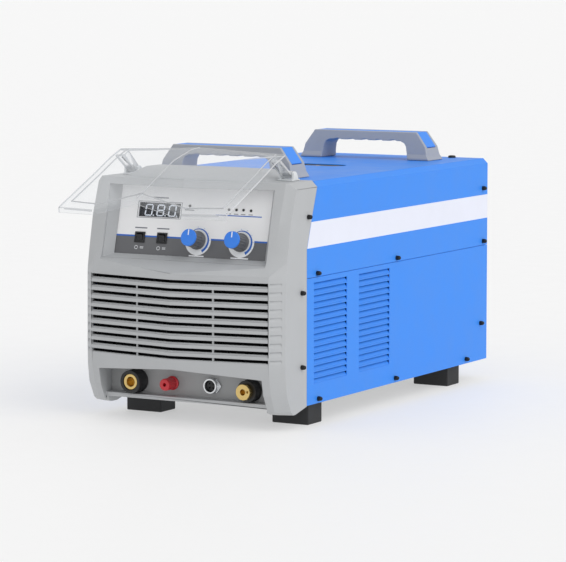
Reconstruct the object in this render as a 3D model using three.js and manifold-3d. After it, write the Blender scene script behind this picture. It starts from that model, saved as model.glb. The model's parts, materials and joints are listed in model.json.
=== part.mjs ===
// Inverter plasma cutter power unit: a steel case with a moulded front bezel, two lift handles,
// a clear control-panel visor, feet, fan, connectors and the power parts inside.
// Millimetres, +Z up, X to the right seen from the front, the front faces -Y.
// The unit is laid out on the case datum (Y = 0 at the bezel joint, Z = 0 at the case underside);
// the outer group then puts the origin at the middle of the footprint, on the floor.
import * as THREE from 'three';
import * as BufferGeometryUtils from 'three/addons/utils/BufferGeometryUtils.js';
import { ConvexGeometry } from 'three/addons/geometries/ConvexGeometry.js';
import Module from 'manifold-3d';

const wasm = await Module();
wasm.setup();

// ---- driving dimensions -------------------------------------------------------------------
const W = 320;              // case width
const HW = W / 2;
const CASE_LENGTH = 569.5;  // bezel joint to rear edge of the covers
const SIDE_TOP = 300.5;     // top of the vertical side, where the chamfer starts
const CASE_TOP = 308;       // flat top of the cover
const CHAMFER = 7.5;
const SHEET = 1.5;          // sheet metal thickness
const SEAM_Z = 176;         // seam between side panels and top cover
const GAP = 0.3;            // fit gap between touching pieces
const FOOT_H = 31;
const ORIGIN_Y = 205;       // middle of the whole length, from the bezel joint
const PANEL_TILT = -0.24737; // control panel leans back by 14.2 degrees
const PANEL_Y = -48.4;      // lower edge of the control panel plane
const PANEL_Z = 202.9;
const SLOT_N = 10;          // air slots in the bezel
const SLOT_PITCH = 11.66;
const SLOT_H = 6.3;
const SLOT_TOP = 175.4;
const LOUVRE_N = 16;        // louvres in each column of a side panel
const LOUVRE_PITCH = 8.87;
const LOUVRE_TOP = 168.6;
const LOUVRE_H = 6.6;       // window height
const LOUVRE_IN = 3.9;      // how far the blade is bent in at its top
const KNOB_X = [11.5, 80.5];
const KNOB_Z = 23.2;        // up the panel
const SWITCH_X = [-83, -46.8];
const SWITCH_Z = 23.8;
const HINGE_Y = 8;          // visor hinge axis
const HINGE_Z = 317.6;
const FAN_X = 20;
const FAN_Z = 170;
const HANDLE_Y = [73, 490]; // handle centres
const BREAKER_X = -98;
const BREAKER_Z = 238;

// ---- materials ------------------------------------------------------------------------------
const paint = (color, roughness, metalness = 0) => new THREE.MeshStandardMaterial({ color, roughness, metalness });
const GREY = paint(0xb9bbbd, 0.5);
const BLUE = paint(0x4a8fe6, 0.4);
const BLACK = paint(0x17181a, 0.6);
const DARK = paint(0x58595b, 0.6);
const LIGHT = paint(0xdfe0e2, 0.45);
const RED = paint(0xc81c2a, 0.35);
const BRASS = paint(0xc9a968, 0.3, 1);
const CHROME = paint(0xd0d2d4, 0.2, 1);
const STEEL = paint(0xa6a8aa, 0.4, 1);
const ALU = paint(0xb8babd, 0.45, 1);
const GREEN = paint(0x2d6b3f, 0.6);
const COPPER = paint(0xb5713c, 0.4, 1);
const CLEAR = paint(0xeef1f3, 0.1);

// ---- geometry helpers -------------------------------------------------------------------------
function solid(geometry) {
  let g = geometry.index ? geometry.clone() : geometry.clone();
  for (const name of Object.keys(g.attributes)) if (name !== 'position') g.deleteAttribute(name);
  g = BufferGeometryUtils.mergeVertices(g, 1e-4);
  const p = g.attributes.position.array;
  let idx = Array.from(g.index.array);
  const tris = [];
  for (let i = 0; i < idx.length; i += 3) {
    const [a, b, c] = [idx[i], idx[i + 1], idx[i + 2]];
    if (a !== b && b !== c && a !== c) tris.push(a, b, c);
  }
  let vol = 0;
  for (let i = 0; i < tris.length; i += 3) {
    const a = tris[i] * 3, b = tris[i + 1] * 3, c = tris[i + 2] * 3;
    vol += p[a] * (p[b + 1] * p[c + 2] - p[b + 2] * p[c + 1]) - p[a + 1] * (p[b] * p[c + 2] - p[b + 2] * p[c])
      + p[a + 2] * (p[b] * p[c + 1] - p[b + 1] * p[c]);
  }
  if (vol < 0) for (let i = 0; i < tris.length; i += 3) [tris[i + 1], tris[i + 2]] = [tris[i + 2], tris[i + 1]];
  return new wasm.Manifold(new wasm.Mesh({ numProp: 3, vertProperties: new Float32Array(p), triVerts: new Uint32Array(tris) }));
}
function geometryOf(manifold) {
  const mesh = manifold.getMesh();
  const g = new THREE.BufferGeometry();
  g.setAttribute('position', new THREE.BufferAttribute(new Float32Array(mesh.vertProperties), 3));
  g.setIndex(new THREE.BufferAttribute(new Uint32Array(mesh.triVerts), 1));
  g.computeVertexNormals();
  return g;
}
const join = (...parts) => parts.flat().reduce((a, b) => a.add(b));
const cut = (body, ...tools) => tools.flat().reduce((a, b) => a.subtract(b), body);
function box(x0, x1, y0, y1, z0, z1) {
  return solid(new THREE.BoxGeometry(Math.abs(x1 - x0), Math.abs(y1 - y0), Math.abs(z1 - z0))
    .translate((x0 + x1) / 2, (y0 + y1) / 2, (z0 + z1) / 2));
}
const shapeOf = (pts) => new THREE.Shape(pts.map(([a, b]) => new THREE.Vector2(a, b)));
const AXES_X = new THREE.Matrix4().set(0, 0, 1, 0, 1, 0, 0, 0, 0, 1, 0, 0, 0, 0, 0, 1);
const AXES_Y = new THREE.Matrix4().set(0, 1, 0, 0, 0, 0, 1, 0, 1, 0, 0, 0, 0, 0, 0, 1);
const AXES_Z = new THREE.Matrix4();
function prism(pts, from, to, holes, axes, shift) {
  const bar = (outline, a, b) => solid(new THREE.ExtrudeGeometry(shapeOf(outline), { depth: b - a, bevelEnabled: false })
    .applyMatrix4(axes).translate(...shift(a)));
  return holes.reduce((m, h) => m.subtract(bar(h, from - 1, to + 1)), bar(pts, from, to));
}
// outline in (y, z), run along X
const alongX = (pts, x0, x1, holes = []) => prism(pts, x0, x1, holes, AXES_X, (a) => [a, 0, 0]);
// outline in (x, z), run along Y
const swap = (list) => list.map(([a, b]) => [b, a]);
const alongY = (pts, y0, y1, holes = []) => prism(swap(pts), y0, y1, holes.map(swap), AXES_Y, (a) => [0, a, 0]);
// outline in (x, y), run along Z
const alongZ = (pts, z0, z1, holes = []) => prism(pts, z0, z1, holes, AXES_Z, (a) => [0, 0, a]);
const circle = (cx, cy, r, n = 24, a0 = 0) => Array.from({ length: n }, (_, i) =>
  [cx + r * Math.cos(a0 + (2 * Math.PI * i) / n), cy + r * Math.sin(a0 + (2 * Math.PI * i) / n)]);
const cylY = (x, z, r, y0, y1, n = 24) => alongY(circle(x, z, r, n), y0, y1);
const cylX = (y, z, r, x0, x1, n = 24) => alongX(circle(y, z, r, n), x0, x1);
const cylZ = (x, y, r, z0, z1, n = 24) => alongZ(circle(x, y, r, n), z0, z1);
// turned piece: profile of [radius, distance along +Y], from axis to axis
function turnedY(profile, x, y, z, n = 28) {
  return solid(new THREE.LatheGeometry(profile.map(([r, h]) => new THREE.Vector2(r, h)), n).translate(x, y, z));
}
const hull = (pts) => solid(new ConvexGeometry(pts.map((p) => new THREE.Vector3(...p))));
const bothSides = (pts) => pts.flatMap(([x, y, z]) => [[x, y, z], [-x, y, z]]);
// a stack of level outlines with equal point counts, closed at both ends
function stack(levels) {
  const n = levels[0].pts.length;
  const pos = [];
  for (const { z, pts } of levels) for (const [x, y] of pts) pos.push(x, y, z);
  const idx = [];
  for (let l = 0; l < levels.length - 1; l++) {
    for (let i = 0; i < n; i++) {
      const a = l * n + i, b = l * n + ((i + 1) % n), c = a + n, d = b + n;
      idx.push(a, b, d, a, d, c);
    }
  }
  const cap = (l, up) => {
    const tris = THREE.ShapeUtils.triangulateShape(levels[l].pts.map(([x, y]) => new THREE.Vector2(x, y)), []);
    for (const [a, b, c] of tris) up ? idx.push(l * n + a, l * n + b, l * n + c) : idx.push(l * n + a, l * n + c, l * n + b);
  };
  cap(0, false);
  cap(levels.length - 1, true);
  const g = new THREE.BufferGeometry();
  g.setAttribute('position', new THREE.Float32BufferAttribute(pos, 3));
  g.setIndex(idx);
  return solid(g);
}
const mirrorX = (m) => {
  const g = geometryOf(m);
  g.scale(-1, 1, 1);
  return solid(g);
};

const unit = new THREE.Group();
const machine = new THREE.Group();
machine.position.set(0, -ORIGIN_Y, FOOT_H);
unit.add(machine);
const controls = new THREE.Group();           // the tilted control panel plane
controls.position.set(0, PANEL_Y, PANEL_Z);
controls.rotation.x = PANEL_TILT;
machine.add(controls);
function piece(name, manifold, material, parent = machine) {
  const mesh = new THREE.Mesh(geometryOf(manifold), material);
  mesh.name = name;
  parent.add(mesh);
  return mesh;
}

// ---- front bezel --------------------------------------------------------------------------------
// level, joint edge, corner, chamfer half width, chamfer edge, ridge
const BEZEL = [
  [-8, 0, -38, 141, -46, -62],
  [-3.5, 0, -44, 142, -58, -74],
  [20, 0, -56, 142.5, -69, -91],
  [45, 0, -59.5, 142.5, -74, -96.5],
  [72, 0, -60.2, 142.5, -76.5, -98],
  [176, 0, -58.8, 142.5, -76.5, -98.4],
  [184, 0, -58, 142.6, -74.5, -99],
  [203, 0, -54.8, 143, -62.6, -90],
  [216, 0, -52.4, 143.4, -59.6, -86],
  [253.3, 12.3, -44.6, 145, -50.8, -77],
  [300.3, 29.2, -28.6, 147, -38.6, -62.6],
  [309, 31, -26.4, 147.4, -36.6, -60],
];
const ring = ([, yb, yc, xc, yf, yr], inset, back) => {
  const x = HW - inset, c = xc - inset * 0.7;
  return [[-x, yb + back], [-x, yc + inset], [-c, yf + inset * 1.1], [0, yr + inset * 1.1], [c, yf + inset * 1.1], [x, yc + inset], [x, yb + back]];
};
let bezel = stack(BEZEL.map((l) => ({ z: l[0], pts: ring(l, 0, 0) })));
bezel = bezel.intersect(alongY([[-HW, -9], [HW, -9], [HW, SIDE_TOP], [HW - 9.5, 309], [9.5 - HW, 309], [-HW, SIDE_TOP]], -130, 60));
const cavity = stack(BEZEL.map((l, i) => ({ z: i === 0 ? -4.5 : i === BEZEL.length - 1 ? 305.2 : l[0], pts: ring(l, 3.5, 8) })))
  .intersect(alongY([[-HW + 3, -9], [HW - 3, -9], [HW - 3, SIDE_TOP - 1.4], [HW - 11, 306], [11 - HW, 306], [-HW + 3, SIDE_TOP - 1.4]], -130, 80));
// raised crown over the panel
const crown = join(
  hull([...bothSides([[93, 29, 323], [93, -8, 323], [109, -26, 313.2], [112, 28.6, 308], [112, 28.6, 300], [113, -30, 308.5], [113, -30, 300]]), [0, -9, 323.4], [0, -60, 311.5], [0, -60, 300], [0, 29, 323.4]]),
);
const crownHollow = hull([...bothSides([[90, 31, 319.6], [90, -8, 319.6], [106, -24, 309.6], [109, 31, 304], [109, 31, 300], [109, -24, 300]]), [0, -8, 319.9], [0, -54, 307.6], [0, -54, 300]]);
// tapered window for the control panel with its return walls
const windowCut = join(
  hull([...bothSides([[121.4, -24.1, 299], [121.4, -48.6, 202.9], [132.5, -39.5, 299], [132.5, -64, 197.4]])]),
  alongX([[-39, 299], [-39, 299], [-150, 299], [-150, 165.6], [-63.9, 197.4]].slice(1), -132.5, 132.5),
);
const windowWalls = hull([...bothSides([[125, -23.4, 302.4], [125, -49.5, 199.4], [136.5, -40, 302.4], [136.5, -66, 193.4]]),
  [0, -62, 302.4], [0, -95, 181.5], [60, -88, 184], [-60, -88, 184], [60, -50, 302.4], [-60, -50, 302.4]]);
const bezelSolid = bezel.add(crown);
bezel = bezelSolid.subtract(cavity).subtract(crownHollow);
bezel = bezel.add(windowWalls.intersect(bezelSolid)).subtract(windowCut);
// connector bay: walls, floor lip and the opening below the grille
const bayOutline = (g, zb) => [[-131.3 - g, zb], [131.3 + g, zb], [131.3 + g, 42.3 + g], [0, 51.3 + g], [-131.3 - g, 42.3 + g]];
bezel = bezel.add(alongY(bayOutline(3, 0.8), -120, -41.7).intersect(bezelSolid));
bezel = bezel.add(box(-131.5, 131.5, -56, -0.3, 0.8, 3.8));
bezel = bezel.add(join(box(-131.5, -128.5, -56, -0.3, -7.6, 3), box(128.5, 131.5, -56, -0.3, -7.6, 3)).intersect(bezelSolid));
bezel = cut(bezel,
  alongY(bayOutline(0, -20), -130, -56),
  alongY(bayOutline(0, 6.6), -60, -41),
  box(-128.5, 128.5, -60, 5, -20, 0.8));
// air slots: a narrow throat, split by two set-back uprights below the first, and a wide mouth
// whose lower lip slopes down and out
const frontY = (x) => -98.2 + Math.abs(x) * (21.7 / 142.5);
const slots = [];
for (let i = 0; i < SLOT_N; i++) {
  const z1 = SLOT_TOP - i * SLOT_PITCH, z0 = z1 - SLOT_H, zt = z1 - 4.3;
  const throats = i === 0 ? [[-142, 142]] : [[-142, -62.4], [-59.8, 59.8], [62.4, 142]];
  for (const [a, b] of throats) slots.push(box(a, b, -130, -66, zt, z1));
  for (const s of [-1, 1]) {
    slots.push(hull([0, 142.3].flatMap((x) => [[s * x, frontY(x) - 2, z1], [s * x, frontY(x) + 2.6, z1], [s * x, frontY(x) + 2.6, zt],
      [s * x, frontY(x) + 0.2, z0], [s * x, frontY(x) - 2, z0]])));
    // shallow gill running on around the corner chamfer, deepest at its top edge
    slots.push(hull([[144.6, -74.3, 1.9], [156.2, -63.2, 1.1]].flatMap(([x, y, d]) => [[s * x, y - 3, z1 - 0.4], [s * (x - 0.7 * d), y + 0.7 * d, z1 - 0.4],
      [s * (x - 0.7 * d), y + 0.7 * d, z1 - 1.6], [s * x, y - 3, z0 - 0.4], [s * (x + 0.3), y - 0.3, z0 - 0.4]])));
  }
}
bezel = cut(bezel, slots);
// lower corners rise towards the joint
bezel = bezel.subtract(alongX([[-34, -8.4], [6, -20], [6, -0.6], [0.2, -0.6]], -170, 170));
// screw counterbores in the bezel sides
const BEZEL_SCREWS = [[2.7, 260.9], [-15.4, 157.8], [-15.3, 55.4]];
for (const [y, z] of BEZEL_SCREWS) bezel = bezel.subtract(cylX(y, z, 1.9, -170, 170, 12));
piece('front_bezel', bezel, GREY);

// ---- control panel -------------------------------------------------------------------------------
// local frame: X right, Z up the panel, front towards -Y
const sw = (x) => [[x - 6.9, SWITCH_Z - 6.4], [x + 6.9, SWITCH_Z - 6.4], [x + 6.9, SWITCH_Z + 6.4], [x - 6.9, SWITCH_Z + 6.4]];
const DISPLAY = [-90, -23.2, 53.2, 73.4];
const displayHole = [[DISPLAY[0], DISPLAY[2]], [DISPLAY[1], DISPLAY[2]], [DISPLAY[1], DISPLAY[3]], [DISPLAY[0], DISPLAY[3]]];
const LED_SPOTS = [[-8.2, 70.9], [54.9, 68.2], [66.8, 68.4], [77.9, 68.6], [89.9, 68.2]];
piece('control_panel', alongY([[-124.2, -2], [124.2, -2], [124.2, 98.6], [-124.2, 98.6]], 0.4, 2.4,
  [sw(SWITCH_X[0]), sw(SWITCH_X[1]), displayHole, circle(KNOB_X[0], KNOB_Z, 4.4, 20), circle(KNOB_X[1], KNOB_Z, 4.4, 20),
    ...LED_SPOTS.map(([x, z]) => circle(x, z, 1.7, 12))]), LIGHT, controls);
piece('display_window', join(
  box(DISPLAY[0] + GAP, DISPLAY[1] - GAP, -0.2, 2.6, DISPLAY[2] + GAP, DISPLAY[3] - GAP),
  box(DISPLAY[0] - 2, DISPLAY[1] + 2, 2.7, 3.9, DISPLAY[2] - 2, DISPLAY[3] + 2),
  box(DISPLAY[0] + 2, DISPLAY[1] - 2, 2.3, 3, DISPLAY[2] + 2, DISPLAY[3] - 2)), CLEAR, controls);
piece('display_module', box(DISPLAY[0] + 1, DISPLAY[1] - 1, 4.3, 15.2, DISPLAY[2] + 1, DISPLAY[3] - 1), DARK, controls);
// circuit board behind the panel, with its indicator light pipes
piece('control_board', join(
  box(-112, 112, 18, 19.6, 8, 92),
  ...LED_SPOTS.map(([x, z]) => cylY(x, z, 1.4, -0.3, 18.4, 10))), GREEN, controls);
for (const [i, side] of [[0, 'left'], [1, 'right']]) {
  const x = SWITCH_X[i];
  piece(`rocker_switch_body_${side}`, cut(join(
    box(x - 8.2, x + 8.2, -1.4, 0.1, SWITCH_Z - 7.6, SWITCH_Z + 7.6),
    box(x - 6.5, x + 6.5, -1.4, 14, SWITCH_Z - 6, SWITCH_Z + 6)),
    box(x - 5.4, x + 5.4, -3, 8, SWITCH_Z - 5.2, SWITCH_Z + 5.2)), BLACK, controls);
  const rocker = alongX([[-3.6, 4.1], [-2.1, 0], [-3.6, -4.1], [2.4, -3.4], [4, 0], [2.4, 3.4]], x - 4.9, x + 4.9);
  const g = geometryOf(rocker);
  g.rotateX(0.14).translate(0, 0.6, SWITCH_Z);
  piece(`rocker_${side}`, solid(g), BLACK, controls);
  const kx = KNOB_X[i];
  // potentiometer with its bush and shaft
  piece(`potentiometer_${side}`, join(
    cylY(kx, KNOB_Z, 8.5, 2.9, 13.5, 20), cylY(kx, KNOB_Z, 3.9, -0.4, 3.2, 16), cylY(kx, KNOB_Z, 3, -18, 3.2, 14),
    box(kx - 7, kx + 7, 6, 9, KNOB_Z - 13.5, KNOB_Z - 7)), STEEL, controls);
  // fluted knob with a bore for the shaft, and its coloured cap
  const flutes = Array.from({ length: 36 }, (_, k) => {
    const a = (2 * Math.PI * k) / 36, r = k % 2 === 0 ? 11.1 : 11.9;
    return [kx + r * Math.cos(a), KNOB_Z + r * Math.sin(a)];
  });
  piece(`knob_${side}`, cut(join(cylY(kx, KNOB_Z, 13, -4.2, -1, 32), alongY(flutes, -24, -4)),
    cylY(kx, KNOB_Z, 3.3, -18.6, 0, 16), cylY(kx, KNOB_Z, 9.8, -2.6, 0, 24)), DARK, controls);
  piece(`knob_cap_${side}`, cut(turnedY([[0, 0], [10.6, 0], [11.9, -0.9], [11.9, -3.2], [0, -3.2]].map(([r, h]) => [r, h + 3.2]), kx, -27.5, KNOB_Z, 32),
    box(kx - 0.7, kx + 0.7, -28, -27, KNOB_Z + 3, KNOB_Z + 13)), BLUE, controls);
}

// ---- connector bay ------------------------------------------------------------------------------
const WORK = [-88, 24], PILOT = [-30.5, 24], TRIGGER = [34, 24.8], TORCH = [97, 23];
piece('connector_board', alongY([[-134, 4.2], [134, 4.2], [134, 45], [0, 54], [-134, 45]], -41.4, -38.4,
  [circle(...WORK, 13, 24), circle(...PILOT, 4.6, 16), circle(...TRIGGER, 9.6, 20), circle(...TORCH, 10, 20)]), DARK);
piece('work_socket_body', cut(join(
  cylY(...WORK, 17, -45.6, -41.8, 28), cylY(...WORK, 16.2, -63, -45, 28), cylY(...WORK, 12.6, -45, -24, 24)),
  cylY(...WORK, 11.5, -70, -44, 24), cylY(...WORK, 7.2, -50, -20, 20)), BLACK);
piece('work_socket_contact', cut(join(cylY(...WORK, 11.1, -61.5, -44.4, 28), cylY(...WORK, 6.8, -45, -14, 20)),
  cylY(...WORK, 6.6, -70, -42, 20)), BRASS);
piece('pilot_terminal', cut(join(
  cylY(...PILOT, 8.6, -64.5, -44, 12), cylY(...PILOT, 9.8, -44.2, -41.8, 24), cylY(...PILOT, 4.2, -42, -30, 16)),
  cylY(...PILOT, 2.4, -70, -56, 12)), RED);
piece('trigger_socket_shell', cut(join(
  alongY([[TRIGGER[0] - 15, TRIGGER[1]], [TRIGGER[0] - 8, TRIGGER[1] - 9.5], [TRIGGER[0] + 8, TRIGGER[1] - 9.5], [TRIGGER[0] + 15, TRIGGER[1]],
    [TRIGGER[0] + 8, TRIGGER[1] + 9.5], [TRIGGER[0] - 8, TRIGGER[1] + 9.5]], -43.8, -41.8),
  cylY(...TRIGGER, 10.6, -50, -43, 28), cylY(...TRIGGER, 9.2, -43, -30, 24)),
  cylY(...TRIGGER, 8.2, -60, -20, 24)), CHROME);
piece('trigger_socket_insert', cut(cylY(...TRIGGER, 7.8, -45, -28, 24),
  ...circle(0, 0, 4, 4, 0.785).map(([dx, dz]) => cylY(TRIGGER[0] + dx, TRIGGER[1] + dz, 1.3, -50, -40, 8))), BLACK);
piece('torch_connector_flange', cut(join(
  cylY(...TORCH, 16, -45.4, -41.8, 28), cylY(...TORCH, 15.2, -58, -45, 28), cylY(...TORCH, 9.6, -46, -28, 20)),
  cylY(...TORCH, 7.6, -70, -20, 20)), BLACK);
piece('torch_connector_body', cut(join(cylY(...TORCH, 11.8, -67, -58.4, 6), cylY(...TORCH, 11, -67.8, -58.4, 28), cylY(...TORCH, 7.2, -58.6, -20, 20)),
  cylY(TORCH[0], TORCH[1], 4.2, -80, -52, 16), cylY(TORCH[0] + 7.4, TORCH[1] + 0.5, 1.5, -80, -63, 8)), BRASS);

// ---- case covers ---------------------------------------------------------------------------------
const jointFront = (g) => alongX([[-80, -30], [g, -30], [g, 216], [12.3 + g, 253.3], [29.2 + g, 300.3], [31 + g, 309], [31 + g, 340], [-80, 340]], -200, 200);
const coverOuter = (x, z0, o) => [[-x, z0], [-x, SIDE_TOP - 0.4 * o], [-x + CHAMFER - 0.0, CASE_TOP - o], [x - CHAMFER, CASE_TOP - o], [x, SIDE_TOP - 0.4 * o], [x, z0]];
let cover = alongY([...coverOuter(HW, SEAM_Z + GAP, 0), [HW - SHEET, SEAM_Z + GAP], [HW - SHEET, SIDE_TOP - 0.6], [HW - SHEET - CHAMFER + 0.6, CASE_TOP - SHEET],
  [-HW + SHEET + CHAMFER - 0.6, CASE_TOP - SHEET], [-HW + SHEET, SIDE_TOP - 0.6], [-HW + SHEET, SEAM_Z + GAP]], -10, CASE_LENGTH);
cover = cover.subtract(jointFront(GAP));
const oblong = (cx, cy, lx, ly, n = 8) => {
  const pts = [];
  for (let i = 0; i <= n; i++) { const a = -Math.PI / 2 + (Math.PI * i) / n; pts.push([cx + lx / 2 - ly / 2 + (ly / 2) * Math.cos(a), cy + (ly / 2) * Math.sin(a)]); }
  for (let i = 0; i <= n; i++) { const a = Math.PI / 2 + (Math.PI * i) / n; pts.push([cx - lx / 2 + ly / 2 + (ly / 2) * Math.cos(a), cy + (ly / 2) * Math.sin(a)]); }
  return pts;
};
const EYE_Y = 321;
cover = cover.subtract(alongZ(oblong(0, EYE_Y, 92, 38), 290, 320));
piece('top_cover', cover, BLUE);
// side panel with a tongue behind the cover, and two columns of louvre slots
let side = join(box(HW - SHEET, HW, GAP, CASE_LENGTH, 0, SEAM_Z - GAP),
  box(HW - 3.3, HW - SHEET + 0.2, 40, 548, 170.5, SEAM_Z - GAP), box(HW - 3.3, HW - SHEET - GAP, 40, 548, 170.5, 189));
const louvres = [];
for (let i = 0; i < LOUVRE_N; i++) {
  const z = LOUVRE_TOP - i * LOUVRE_PITCH;
  for (const [y0, y1] of [[20, 116], [152, 245.5]]) {
    louvres.push([y0, y1, z]);
  }
}
// each louvre is a window with its blade bent in from the lower edge, open at the top and both ends
for (const [y0, y1, z] of louvres) side = side.subtract(box(HW - 4, HW + 1, y0, y1, z - LOUVRE_H, z));
for (const [y0, y1, z] of louvres) {
  const zb = z - LOUVRE_H;
  side = side.add(hull([y0 + 0.1, y1 - 0.1].flatMap((y) => [[HW, y, zb - 0.01], [HW - SHEET, y, zb - 0.01], [HW - LOUVRE_IN, y, z - 0.5], [HW - LOUVRE_IN - 1.1, y, z - 0.8]])));
}
piece('side_panel_right', side, BLUE);
piece('side_panel_left', mirrorX(side), BLUE);
piece('base_tray', join(box(-HW + 1.8, HW - 1.8, 1, 566.1, 0, SHEET), box(-HW + 1.8, -HW + 3.3, 1, 549, 0, 14), box(HW - 3.3, HW - 1.8, 1, 549, 0, 14)), STEEL);
const GLAND = [-112, 62], INLET = [112, 62];
const innerTop = [[-158.2, 0], [158.2, 0], [158.2, 299.2], [151.6, 306.2], [-151.6, 306.2], [-158.2, 299.2]];
piece('rear_panel', join(
  alongY(innerTop, 566.4, 567.9, [circle(FAN_X, FAN_Z, 56, 40), circle(...GLAND, 9.6, 20), circle(...INLET, 6.6, 16),
    [[BREAKER_X - 26, BREAKER_Z - 23], [BREAKER_X + 26, BREAKER_Z - 23], [BREAKER_X + 26, BREAKER_Z + 23], [BREAKER_X - 26, BREAKER_Z + 23]]]),
  box(-158.2, -156.7, 550, 567, 20, 290), box(156.7, 158.2, 550, 567, 20, 290)), BLUE);
// bulkhead that carries the bezel, with a window for the cooling air
piece('front_bulkhead', join(
  alongY([[-154.4, 16], [154.4, 16], [154.4, 298], [148, 304.8], [-148, 304.8], [-154.4, 298]], 36, 37.5,
    [[[-130, 56], [130, 56], [130, 184], [-130, 184]]]),
  box(-154.4, -152.9, 2, 37, 16, 214), box(152.9, 154.4, 2, 37, 16, 214)), STEEL);
// lifting eye in its sunken cup
piece('lifting_cup', cut(join(box(-52, 52, EYE_Y - 24, EYE_Y + 24, 304.7, 306.2), box(-48, 48, EYE_Y - 20.6, EYE_Y + 20.6, 272, 305)),
  box(-46.4, 46.4, EYE_Y - 19, EYE_Y + 19, 273.6, 310), cylZ(0, EYE_Y, 5.4, 260, 280, 16)), STEEL);
piece('lifting_eye', join(
  solid(new THREE.TorusGeometry(11.2, 3.4, 8, 20).rotateX(Math.PI / 2).translate(0, EYE_Y, 292.6)),
  cylZ(0, EYE_Y, 8.4, 273.9, 277.4, 20), cylZ(0, EYE_Y, 4.6, 277, 281, 16), cylZ(0, EYE_Y, 4.8, 262, 280, 16)), BRASS);

// ---- handles ----------------------------------------------------------------------------------------
const HB = CASE_TOP + GAP;
for (const [name, y] of [['front', HANDLE_Y[0]], ['rear', HANDLE_Y[1]]]) {
  const outline = [[-111, 0], [-109, 3.5], [-106.6, 8], [-103.4, 20.5], [-87.6, 42.2], [87.6, 42.2], [103.4, 20.5], [106.6, 8], [109, 3.5], [111, 0],
    [74, 0], [70.5, 20], [67, 25.4], [60.5, 28.2], [-60.5, 28.2], [-67, 25.4], [-70.5, 20], [-74, 0]];
  let body = alongY(outline.map(([a, b]) => [a, b + HB]), y - 24, y + 24);
  body = cut(body,
    alongX([[y - 30, HB + 3], [y - 24, HB + 3], [y - 22, HB + 9], [y - 19, HB + 44], [y - 30, HB + 44]], -120, 120),
    alongX([[y + 24, HB + 3], [y + 30, HB + 3], [y + 30, HB + 44], [y + 19, HB + 44], [y + 22, HB + 9]], -120, 120));
  // finger scallops on the underside of the grip
  for (let i = -2; i <= 2; i++) body = body.subtract(cylY(i * 24, HB + 28.2 - 13.4, 14.9, y - 30, y + 30, 20));
  const band = [[-103.4, 20.2], [-87.6, 41.9], [87.6, 41.9], [103.4, 20.2], [101.8, 18.4], [86.6, 39.4], [-86.6, 39.4], [-101.8, 18.4]];
  const bandCut = [[-106, 20.6], [-89, 46], [89, 46], [106, 20.6], [101.2, 17.2], [86.2, 38.9], [-86.2, 38.9], [-101.2, 17.2]];
  body = body.subtract(alongY(bandCut.map(([a, b]) => [a, b + HB]), y - 14.8, y + 14.8));
  piece(`${name}_handle`, body, GREY);
  piece(`${name}_handle_inlay`, alongY(band.map(([a, b]) => [a, b + HB]), y - 14.4, y + 14.4), BLUE);
}

// ---- feet ---------------------------------------------------------------------------------------------
for (const [name, s, y0] of [['front_left', -1, 24], ['front_right', 1, 24], ['rear_left', -1, 458], ['rear_right', 1, 458]]) {
  piece(`foot_${name}`, cut(box(s * 91, s * 148.6, y0, y0 + 40, -FOOT_H, -GAP),
    cylZ(s * 105, y0 + 20, 5, -FOOT_H - 1, -10, 16), cylZ(s * 134, y0 + 20, 5, -FOOT_H - 1, -10, 16)), BLACK);
}

// ---- visor ----------------------------------------------------------------------------------------------
// clear moulded sheet: two flats, a raised middle ridge, a turned front lip, and two hinge arms
const sheetSection = (y, zc, ridge, drop, t) => [
  [-133, y, zc - drop], [-69, y, zc], [0, y, zc + ridge], [69, y, zc], [133, y, zc - drop]];
function visorSheet() {
  const st = [[-183.5, 272.6, 17, 5.4], [-87, 316.3, 19, 5.4], [-40, 337.4, 10, 4], [-12.5, 346, 3.4, 2.2]];
  const t = 3;
  const rows = st.map(([y, z, r, d]) => sheetSection(y, z, r, d));
  const n = 5, pos = [], idx = [];
  const push = (off) => rows.forEach((row) => row.forEach(([x, y, z]) => pos.push(x, y, z + off)));
  push(0); push(t);
  const R = rows.length, O = R * n;
  for (let r = 0; r < R - 1; r++) for (let i = 0; i < n - 1; i++) {
    const a = r * n + i, b = a + 1, c = a + n, d = c + 1;
    idx.push(a, c, d, a, d, b, O + a, O + d, O + c, O + a, O + b, O + d);
  }
  for (let i = 0; i < n - 1; i++) {
    const a = i, b = i + 1, c = (R - 1) * n + i, d = c + 1;
    idx.push(a, b, O + b, a, O + b, O + a, d, c, O + c, d, O + c, O + d);
  }
  for (let r = 0; r < R - 1; r++) {
    const a = r * n, b = a + n, c = r * n + n - 1, d = c + n;
    idx.push(b, a, O + a, b, O + a, O + b, c, d, O + d, c, O + d, O + c);
  }
  const g = new THREE.BufferGeometry();
  g.setAttribute('position', new THREE.Float32BufferAttribute(pos, 3));
  g.setIndex(idx);
  return solid(g);
}
let visor = visorSheet();
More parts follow.
